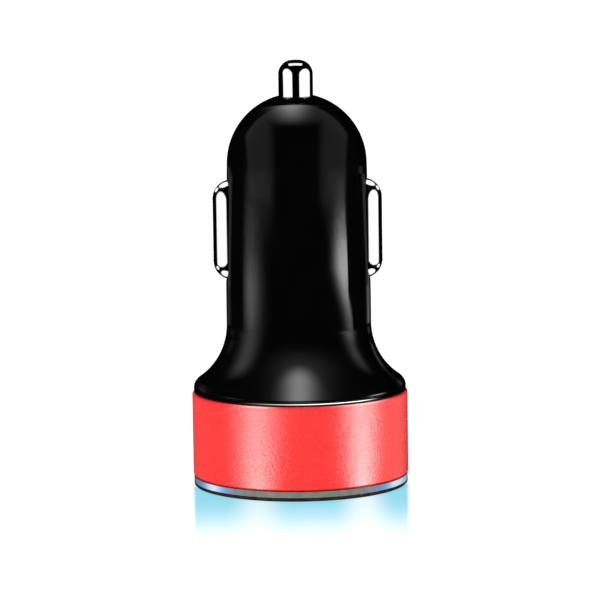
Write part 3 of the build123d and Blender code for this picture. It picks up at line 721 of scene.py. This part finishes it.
# a round tent that faces inwards: azimuth from the front, elevation from the level
def tentGrid(radius, lowest, columns, rows):
    az, el = np.meshgrid(np.linspace(-180, 180, columns), np.linspace(90, lowest, rows))
    a, e = np.radians(az), np.radians(el)
    way = np.stack([np.sin(a) * np.cos(e), -np.cos(a) * np.cos(e), np.sin(e)], -1)
    return way * radius + [0, 0, stage["centreZ"]], way, az, el


# a flat ring at one height: distance from the axis and azimuth from the front; faces down when distances grow
def ringGrid(height, distances, azimuths):
    az, out = np.meshgrid(azimuths, distances)
    a = np.radians(az)
    return np.stack([out * np.sin(a), -out * np.cos(a), height + 0 * out], -1), az, out


# soft shapes over an axis: a ramp down, a ramp to a power, a panel that rises and falls, half a bell up to zero
# and full from there
def fall(x, low, high):
    return 1 - ramp(x, low, high)


def bent(x, low, high, power):
    return ramp(x, low, high) ** power


def panel(x, riseFrom, riseTo, fallFrom, fallTo):
    return ramp(x, riseFrom, riseTo) * fall(x, fallFrom, fallTo)


def lead(x, spread):
    return np.where(x < 0, bell(x, 0, spread, spread), 1)


# sum of rows: each row is a level times soft shapes, each over an axis given by name
def softSum(rows, **axes):
    total = 0
    for level, *shapes in rows:
        for axis, shape, *numbers in shapes:
            level = level * shape(axes[axis], *numbers)
        total = total + level
    return total


# the lens and the picture's own axes
tilt, roll = np.radians(view["elevation"]), np.radians(view["roll"])
toLens = np.array([0, -np.cos(tilt), np.sin(tilt)])
pictureUp = np.array([0, np.sin(tilt), np.cos(tilt)])
frameRight = np.array([np.cos(roll), 0, 0]) - np.sin(roll) * pictureUp
frameUp = np.array([np.sin(roll), 0, 0]) + np.cos(roll) * pictureUp
lens = np.array(view["target"]) + view["distance"] * toLens


# where a spot comes in the picture, in its pixels
def inPicture(spots):
    away = spots - lens
    half = view["picture"] / 2
    scale = view["picture"] * view["focal"] / view["sensor"] / -(away @ toLens)
    return half + scale * (away @ frameRight), half - scale * (away @ frameUp)


# how a surface faces, in the picture, where it mirrors the lens towards a direction: u to the right, v up
def facing(way):
    middle = unit(unit(way) + toLens)
    return middle[..., 0], middle @ pictureUp


# a turned outline's spots and outward directions: radius, height and slope along it, azimuth across it, in degrees
def turnedSpots(radius, height, slope, azimuths):
    az = np.radians(azimuths)[None]
    lean = np.radians(slope)[:, None]
    spots = np.stack([radius[:, None] * np.sin(az), -radius[:, None] * np.cos(az), height[:, None] + 0 * az], -1)
    fronts = np.stack([np.sin(az) * np.cos(lean), -np.cos(az) * np.cos(lean), np.sin(lean) + 0 * az], -1)
    return spots, fronts


# the ray from the lens after a spot mirrors it, and the share of light that the bare surface mirrors there
def mirrored(spots, fronts, ior):
    sight = unit(lens - spots)
    cosine = np.clip((fronts * sight).sum(-1), 0.03, 1)
    inside = np.sqrt(1 - (1 - cosine**2) / ior**2)
    across = ((cosine - ior * inside) / (cosine + ior * inside)) ** 2
    along = ((ior * cosine - inside) / (ior * cosine + inside)) ** 2
    return 2 * cosine[..., None] * fronts - sight, (across + along) / 2


plasticIor = finishes["blackGloss"]["sockets"]["IOR"]


# what the lens sees of a turned outline: spots, mirrored rays, the share mirrored, and x and y in the picture
def seenSpots(radius, height, slope, azimuths, ior=plasticIor):
    spots, fronts = turnedSpots(radius, height, slope, azimuths)
    ray, share = mirrored(spots, fronts, ior)
    return spots, ray, share, *inPicture(spots)


# the same for a circle arc in the outline, by its slope; a hollow arc has a negative radius
def seenArc(centre, radius, slope, azimuths):
    a = np.radians(slope)
    return seenSpots(centre[0] + radius * np.cos(a), centre[1] + radius * np.sin(a), slope, azimuths)


# where rays from the spots come to a level height; rays that go flat or down stop at the longest run
def levelLanding(spots, ray, height):
    run = (height - spots[..., 2]) / np.maximum(ray[..., 2], 1e-3)
    return spots + ray * np.minimum(run, stage["longestRun"])[..., None]


# upper tent, seen in the dome: two faint panels that meet above and a bright strip on top, by how the dome faces
domeLook = dict(lowest=-1.9, panel=0.22, half=0.70, bow=0.82, soft=(-0.04, 0.02), inner=(0.26, 0.42),
                over=(0.48, 0.66), end=(0.795, 0.81),
                strip=((3.0, ("v", ramp, 0.5, 0.78), ("u", bell, -0.06, 0.12, 0.12)),))


def domeLight(d, u, v):
    out = np.abs(u)
    side = np.minimum(d["half"], np.sqrt(np.clip(d["bow"]**2 - v**2, 0, 1)))
    faint = d["panel"] * fall(out - side, *d["soft"]) * np.maximum(ramp(out, *d["inner"]), ramp(v, *d["over"]))
    return (faint + softSum(d["strip"], u=u, v=v)) * fall(v, *d["end"])


tent, way = tentGrid(stage["farRadius"], domeLook["lowest"], 361, 120)[:2]
reflectionCard("domeBoxes", tent, domeLight(domeLook, *facing(way)), [housingShell])

# level card beside the barrel, by mirrored azimuth and height: a bright tall patch on the right that ends at an edge,
# a softer one on the left, faint panels above them and a thin line far out at each side
barrelLook = dict(
    around=(-84, 84, 169), heights=(44.7, 22.7, 67), peak=((22, 31), (94, 72.4)),
    edge=((85,), (8, ("z", fall, 22, 28)), (-3, ("z", ramp, 32, 41))), line=((146,), (-18, ("z", ramp, 28, 42))),
    light=((6.2, ("z", bell, 31.3, 3.6, 3.6), ("fromPeak", lead, 7.8), ("fromEdge", fall, -1, 1)),
           (0.95, ("z", bell, 28, 3.5, 3.0), ("az", bell, -82, 8, 12), ("az", ramp, -102, -96)),
           (0.12, ("z", ramp, 34, 38), ("az", panel, 38, 58, 72, 94)),
           (0.12, ("z", ramp, 34, 38), ("az", panel, -100, -72, -54, -34)),
           (0.4, ("fromLine", bell, 0, 5, 5)), (-0.24, ("z", ramp, 28, 36), ("fromLine", bell, 0, 5, 5)),
           (0.08, ("az", bell, -147, 6, 6))))
around, heights = np.linspace(*barrelLook["around"]), np.linspace(*barrelLook["heights"])
slope = np.degrees(np.arctan((wallRadius(housing, heights - 0.1) - wallRadius(housing, heights + 0.1)) / 0.2))
spots, ray = seenSpots(wallRadius(housing, heights), heights, slope, around)[:2]
landing = spots + ray * ((stage["barrelCardZ"] - spots[..., 2]) / ray[..., 2])[..., None]
az, z = np.meshgrid(2 * around, heights)
edge = softSum(barrelLook["edge"], z=z) + 0 * z
peak = np.minimum(np.interp(z, *barrelLook["peak"]), edge)
line = softSum(barrelLook["line"], z=z)
level = softSum(barrelLook["light"], az=az, z=z, fromPeak=az - peak, fromEdge=az - edge, fromLine=az - line)
reflectionCard("barrelCard", landing, level, [housingShell])

# glow on the table at both sides, seen in the barrel and the top of the flare, by azimuth and distance
glowLook = dict(
    distances=(900, 120, 79), around=(-120, 120, 241), peak=((161, 321), (91, 74)),
    edge=((84.5,), (8.5, ("out", fall, 165, 235))), dim=((1,), (-0.8, ("out", ramp, 380, 620))),
    light=((1.1, ("fromPeak", lead, 7.8), ("fromEdge", fall, -1, 1)),
           (0.7, ("az", bell, -81, 8, 12), ("az", ramp, -101, -95))))
glowGrid, az, out = ringGrid(stage["glowZ"], np.linspace(*glowLook["distances"]), np.linspace(*glowLook["around"]))
peak, edge = np.interp(out, *glowLook["peak"]), softSum(glowLook["edge"], out=out)
level = softSum(glowLook["light"], az=az, fromPeak=az - peak, fromEdge=az - edge)
reflectionCard("tableGlow", glowGrid, level * softSum(glowLook["dim"], out=out), [housingShell])

# level card above the flare, seen only from below: each place has the light that the flare's spot shows in the
# picture, divided by the share that the spot mirrors; a small card stands before the flare's top, whose rays go
# level; in front a round-topped panel with a glow, at each side a strip, which bows outwards with the square of the
# way down, and a line
frontPanel, frontGlow = ("x", bell, 299, 9.8, 10.2), ("x", bell, 300, 17, 19)
flareLook = dict(
    around=(-86, 86, 259), rows=160, fade=(62, 85), cover=(0.006, 0.03), topBend=9, topGap=2, topCover=(0, 4, 6, 9),
    roundTop=(299, -0.02), bows=dict(leftX=(330, 0.0075), leftLineX=(335, 0.01), rightX=(332, -0.0115)),
    light=((0.18, frontPanel, ("roundY", ramp, 363, 381)), (0.022, frontGlow, ("y", bent, 338, 374, 1.6)),
           (0.038, ("leftX", bell, 250.5, 5, 6), ("y", fall, 364, 382)),
           (0.006, ("leftLineX", bell, 231.5, 2, 2), ("y", fall, 345, 358)),
           (0.034, ("rightX", bell, 350.5, 4, 2.6), ("y", fall, 356, 378)),
           (0.05, ("rightX", bell, 350.5, 4, 2.6), ("y", fall, 332, 345)),
           (0.055, ("az", bell, 73, 1.5, 1.5), ("y", fall, 362, 371)),
           (0.015, ("az", bell, 73, 1.5, 1.5), ("y", fall, 374, 386))))
around = np.linspace(*flareLook["around"])
sideFade = fall(np.abs(around), *flareLook["fade"])
bend = np.linspace(housing["meet"], 0, flareLook["rows"])
flareMiddle = (housing["barrelRadius"] + housing["flareRadius"], housing["flareTop"])
spots, ray, share, x, y = seenArc(flareMiddle, -housing["flareRadius"], bend, around)
bowed = {name: x + rate * np.maximum(y - start, 0) ** 2 for name, (start, rate) in flareLook["bows"].items()}
roundY = y + flareLook["roundTop"][1] * (x - flareLook["roundTop"][0]) ** 2
level = softSum(flareLook["light"], x=x, y=y, az=around[None], roundY=roundY, **bowed) / share
reflectionCard("flareCard", levelLanding(spots, ray, stage["flareCardZ"]), level, [housingShell], "oneWay",
               sideFade * ramp(ray[..., 2], *flareLook["cover"]))
top = np.flatnonzero(bend < flareLook["topBend"])[::-1]
topCover = sideFade * panel(bend, *flareLook["topCover"])[:, None]
reflectionCard("flareTopCard", (spots + flareLook["topGap"] * ray)[top], level[top], [housingShell], "oneWay",
               topCover[top])

# lower level card round the shoulder: the front panel goes on, a dim patch at each side, the ends of the bead's line,
# which bows up with the square of the way from its lowest place
shoulderLook = dict(
    foot=(51.5, 4, 130), cover=(0.02, 0.05), coverTop=(49.5, 51.5), lineLow=301, lineBow=(0.00108, 0.00155),
    light=((0.18, frontPanel, ("z", ramp, 13.75, 13.95)), (0.022, frontGlow, ("z", ramp, 13.75, 13.95)),
           (0.02, ("x", bell, 200, 3.5, 3.5), ("y", bell, 391, 4, 4)),
           (0.02, ("x", bell, 401, 2, 2), ("y", bell, 381, 3, 3)),
           (0.9, ("x", panel, 364, 374, 374, 388), ("lineY", bell, 404.7, 0.7, 0.7)),
           (0.1, ("x", panel, 222, 232, 236, 250), ("lineY", bell, 404.7, 0.7, 0.7))))
foot = np.linspace(*shoulderLook["foot"])
filletMiddle = (housing["shoulderRadius"] - housing["filletRadius"], housing["filletZ"])
spots, ray, share, x, y = seenArc(filletMiddle, housing["filletRadius"], foot, around)
lineY = y + np.where(x < shoulderLook["lineLow"], *shoulderLook["lineBow"]) * (x - shoulderLook["lineLow"]) ** 2
level = softSum(shoulderLook["light"], x=x, y=y, z=spots[..., 2], lineY=lineY) / share
footCover = ramp(ray[..., 2], *shoulderLook["cover"]) * fall(foot, *shoulderLook["coverTop"])[:, None]
reflectionCard("shoulderCard", levelLanding(spots, ray, stage["shoulderCardZ"]), level, [housingShell], "oneWay",
               sideFade * footCover)

# level card for the bead: one bright line, brighter to the right
beadLook = dict(rise=(84, 8, 60), light=((1.8, ("x", bent, 236, 318, 1.2), ("x", fall, 360, 380),
                                          ("rise", fall, 76, 84), ("up", ramp, 0.1, 0.2)),))
rise = np.linspace(*beadLook["rise"])
spots, ray, share, x = seenArc(bead["middle"], bead["radius"], rise, around)[:4]
level = softSum(beadLook["light"], x=x, rise=rise[:, None], up=ray[..., 2]) / share
reflectionCard("beadCard", levelLanding(spots, ray, stage["beadCardZ"]), level, [shoulderBead])

# level card for the trim ring's upper chamfer: two pale glints
edgeLook = dict(slant=(70, 25, 10), light=((0.75, ("x", bell, 258, 12, 9)), (0.8, ("x", bell, 362, 14, 13))))
slant = np.linspace(*edgeLook["slant"])
edgeRadius = trim["radius"] - trim["chamfer"] / 2 + 0 * slant
edgeHeight = trim["low"] + trim["height"] - trim["chamfer"] / 2 + 0 * slant
spots, ray, share, x = seenSpots(edgeRadius, edgeHeight, slant, around, redLook["sockets"]["IOR"])[:4]
level = softSum(edgeLook["light"], x=x) / share
reflectionCard("edgeCard", levelLanding(spots, ray, stage["edgeCardZ"]), level, [trimSleeve])

# small cards between the barrel and the side contacts, so that the barrel mirrors little of them
gapLook = dict(heights=(43.4, 27.9, 8), reach=(9.2, 12.4, 33), before=2.7, light=((0.12, ("out", fall, 9.9, 10.4)),))
gapUp, gapOut = np.meshgrid(np.linspace(*gapLook["heights"]), np.linspace(*gapLook["reach"]), indexing="ij")
for title, way in (("leftGap", -1), ("rightGap", 1)):
    gap = np.stack([way * gapOut[:, ::-way], 0 * gapOut - gapLook["before"], gapUp], -1)
    reflectionCard(title, gap, softSum(gapLook["light"], out=np.abs(gap[..., 0])), [housingShell], "oneWay")

# white panels mirrored in the pin, by how it faces: two tall ones with rounded tops and a bar above them
pinLook = dict(level=1.2, bar=(0.59, 0.62, 0.71, 0.74), barHalf=(0.24, 0.28), tall=((-0.69, -0.19), (0.21, 0.78)),
               tallSoft=(0.94, 1.04), top=0.46, drop=0.28, power=2.5, topSoft=0.03)


def pinLight(p, u, v):
    shine = fall(np.abs(u), *p["barHalf"]) * panel(v, *p["bar"])
    for low, high in p["tall"]:
        t = np.abs(2 * u - low - high) / (high - low)
        top = p["top"] - p["drop"] * t ** p["power"]
        shine = shine + fall(t, *p["tallSoft"]) * fall(v - top, -p["topSoft"], p["topSoft"])
    return p["level"] * shine


# a soft-edged oval: its middle, its long half along a slope, its short half across
def oval(u, v, middle, longHalf, shortHalf, slope):
    c, s = np.cos(np.radians(slope)), np.sin(np.radians(slope))
    du, dv = u - middle[0], v - middle[1]
    return fall(np.hypot((du * c + dv * s) / longHalf, (dv * c - du * s) / shortHalf), 0.85, 1.1)


# white panels mirrored in the side contacts: a tall one with round ends, a patch and a dot beyond each end
clipLook = dict(level=1.15, middle=0.545, half=0.245, soft=(0.9, 1.06), split=-0.1, upper=(-0.05, 0.45),
                lower=(-0.12, 0.21), foot=(10, -1.2, 30),
                ovals=(((0.35, 0.70), 0.25, 0.11, -20), ((0.70, 0.53), 0.11, 0.06, 123),
                       ((0.36, -0.68), 0.27, 0.15, 20), ((0.78, -0.36), 0.11, 0.06, 57)))


def clipLight(c, u, v):
    s = np.abs(u)
    (upper, upperEnd), (lower, lowerEnd) = c["upper"], c["lower"]
    beyond = np.maximum(np.where(v > c["split"], (v - upper) / upperEnd, (lower - v) / lowerEnd), 0)
    shine = fall(np.hypot((s - c["middle"]) / c["half"], beyond), *c["soft"])
    return c["level"] * np.clip(shine + sum(oval(s, v, *each) for each in c["ovals"]), 0, 1)


tent, way, az, el = tentGrid(stage["nearRadius"], stage["nearLow"], 361, 140)
reflectionCard("pinBoxes", tent, pinLight(pinLook, *facing(way)), [tipPin])
reflectionCard("clipBoxes", tent * stage["clipTent"], clipLight(clipLook, *facing(way)), clips)
tableGrid = ringGrid(stage["clipTableZ"], np.geomspace(stage["nearRadius"], stage["clipTableInner"], 120),
                     np.linspace(-180, 180, 361))[0]
clipFoot = np.array(np.broadcast_to(clipLook["foot"], tableGrid.shape))
clipFoot[..., 0] *= np.sign(tableGrid[..., 0])
reflectionCard("clipTable", tableGrid, clipLight(clipLook, *facing(tableGrid - clipFoot)), clips)

# broad panels mirrored in the satin band, by mirrored azimuth, on the tent and on the table
bandLook = dict(around=(-88, 88, 177), reach=(140, 0.3, 60), top=(25, 50),
                light=((9.2, ("az", bell, -46, 11, 9)), (14.0, ("az", bell, 69, 8, 8)),
                       (0.55, ("az", panel, 80, 105, 130, 160)), (0.15, ("az", fall, -115, -90))))
reflectionCard("bandBoxes", tent * stage["bandTent"], softSum(bandLook["light"], az=az) * fall(el, *bandLook["top"]),
               [trimSleeve, lightRim])
fanAz, fanOut = np.meshgrid(np.radians(np.linspace(*bandLook["around"])), np.geomspace(*bandLook["reach"]))
fan = trim["radius"] * np.stack([np.sin(fanAz), -np.cos(fanAz)], -1)
fan = fan + fanOut[..., None] * np.stack([np.sin(2 * fanAz), -np.cos(2 * fanAz)], -1)
fan = np.concatenate([fan, stage["bandTableZ"] + 0 * fan[..., :1]], -1)
reflectionCard("bandTable", fan, softSum(bandLook["light"], az=2 * np.degrees(fanAz)), [trimSleeve])

# black surround and table top
reflectionCard("blackSurround", tentGrid(stage["surroundRadius"], stage["surroundLow"], 121, 60)[0])
tableTop = ringGrid(stage["tableZ"], np.geomspace(stage["surroundRadius"], stage["tableInner"], 24),
                    np.linspace(-180, 180, 121))[0]
reflectionCard("blackTable", tableTop)
print("reflection cards set")

# floor: white sheet that keeps a soft shadow, with a painted pool of the lamps' pale blue light in front, paler in two
# columns (middle, half width, least share) that are a painted reflection of the band's highlights; clear from below
paintedFloorGlow = dict(half=15.0, edge=0.3, near=-12.0, far=-48.0, behind=-4.0,
                 columns=((-5.8, 4.6, 0.55), (8.5, 4.4, 0.42)), glow=(0.25, 0.66, 0.8), tone=(0.3, 0.66, 0.75),
                 sockets={"Roughness": 1.0, "Specular IOR Level": 0.0, "Emission Strength": stage["floorGlow"]})
floorMaterial, floorTree, floorShader, floorPlace = startMaterial("floorWhite", paintedFloorGlow)
split = floorTree.nodes.new("ShaderNodeSeparateXYZ")
wire(floorPlace, split.inputs[0])
across, along = split.outputs["X"], split.outputs["Y"]
narrowing = mathNode(floorTree, "MULTIPLY_ADD", along, 1 / (view["distance"] * mm), 1.0)
sideways = mathNode(floorTree, "DIVIDE", mathNode(floorTree, "ABSOLUTE", across), narrowing)
paintedGlowShare = rangeNode(floorTree, sideways, (paintedFloorGlow["half"] - paintedFloorGlow["edge"]) * mm,
                 (paintedFloorGlow["half"] + paintedFloorGlow["edge"]) * mm, 1, 0)
factors = [rangeNode(floorTree, along, paintedFloorGlow["far"] * mm, paintedFloorGlow["near"] * mm, 0, 1, True),
           rangeNode(floorTree, along, paintedFloorGlow["behind"] * mm, 0, 1, 0, True),
           floorTree.nodes.new("ShaderNodeLightPath").outputs["Is Camera Ray"]]
for middle, half, least in paintedFloorGlow["columns"]:
    away = mathNode(floorTree, "ABSOLUTE", mathNode(floorTree, "SUBTRACT", across, middle * mm))
    factors.append(rangeNode(floorTree, away, 0, half * mm, least, 1, True))
for factor in factors:
    paintedGlowShare = mathNode(floorTree, "MULTIPLY", paintedGlowShare, factor)
tone = stage["floorTone"]
# painted light: the lamps' blue pool is mixed into the floor's emission and its base colour
wire(mixNode(floorTree, paintedGlowShare, (1.0, 1.0, 1.0), paintedFloorGlow["glow"]), floorShader.inputs["Emission Color"])
wire(mixNode(floorTree, paintedGlowShare, (tone, tone, tone), [tone * part for part in paintedFloorGlow["tone"]]),
     floorShader.inputs["Base Color"])
floorSide = floorTree.nodes.new("ShaderNodeNewGeometry")
floorBelow = floorTree.nodes.new("ShaderNodeBsdfTransparent")
floorBoth = floorTree.nodes.new("ShaderNodeMixShader")
floorEnd = floorShader.outputs[0].links[0].to_socket
wire(floorSide.outputs["Backfacing"], floorBoth.inputs[0])
wire(floorShader.outputs[0], floorBoth.inputs[1])
wire(floorBelow.outputs[0], floorBoth.inputs[2])
wire(floorBoth.outputs[0], floorEnd)
floorMaterial.cycles.emission_sampling = "NONE"
floorGrid = np.stack([*np.meshgrid(np.linspace(-1, 1, 3), np.linspace(-1, 1, 3)), np.zeros((3, 3))], -1)
floorGrid = floorGrid * stage["floorHalf"] / mm - [0, 0, stage["floorDrop"]]
floor = newObject("floor", floorGrid, gridQuads(gridIndex(floorGrid)), [floorMaterial], merge=False)

# world: white to the lens and in mirrors, plain level on matt surfaces
world = bpy.data.worlds.new("studio")
bpy.context.scene.world = world
worldTree, worldOut = emptyTree(world, "ShaderNodeOutputWorld")
worldLight = worldTree.nodes.new("ShaderNodeBackground")
wire((1, 1, 1), worldLight.inputs["Color"])
path = worldTree.nodes.new("ShaderNodeLightPath")
seen = mathNode(worldTree, "MAXIMUM", path.outputs["Is Camera Ray"], path.outputs["Is Glossy Ray"])
seen = mathNode(worldTree, "MAXIMUM", seen, path.outputs["Is Transmission Ray"])
wire(rangeNode(worldTree, seen, 0, 1, stage["worldLight"], 1), worldLight.inputs["Strength"])
wire(worldLight.outputs[0], worldOut.inputs[0])


# an object stands at a place with its own x, y and z axes, as columns
def stand(obj, axes, place):
    obj.matrix_world = Matrix([[*row, p] for row, p in zip(axes, place)] + [[0, 0, 0, 1]])
    bpy.context.scene.collection.objects.link(obj)


# lamps, large and soft, that mirrors don't see: the key from the upper left front, a weak one at each side; in metres
lampAim = (0, 0, 0.02)
lamps = {
    "keyLamp": dict(place=(-0.35, -0.5, 0.55), size=0.4, watts=2.0),
    "leftLamp": dict(place=(-0.5, -0.05, 0.12), size=0.2, watts=0.3),
    "rightLamp": dict(place=(0.5, -0.05, 0.12), size=0.2, watts=0.45),
}
for title, lamp in lamps.items():
    lampData = bpy.data.lights.new(title, "AREA")
    lampData.size = lamp["size"]
    lampData.energy = lamp["watts"]
    lampObject = bpy.data.objects.new(title, lampData)
    lampObject.visible_glossy = False
    back = unit(np.array(lamp["place"]) - lampAim)
    sideAxis = unit(np.cross([0, 0, 1], back))
    stand(lampObject, np.stack([sideAxis, np.cross(back, sideAxis), back], 1), lamp["place"])
print("stage set")

# camera: long lens a little above the level, turned a touch as the photo is
camera = bpy.data.cameras.new("camera")
camera.lens = view["focal"]
camera.sensor_width = view["sensor"]
camera.clip_end = view["clipEnd"]
cameraObject = bpy.data.objects.new("camera", camera)
stand(cameraObject, np.stack([frameRight, frameUp, toLens], 1), lens * mm)
bpy.context.scene.camera = cameraObject
bpy.context.scene.view_settings.view_transform = "Standard"
print("camera placed")
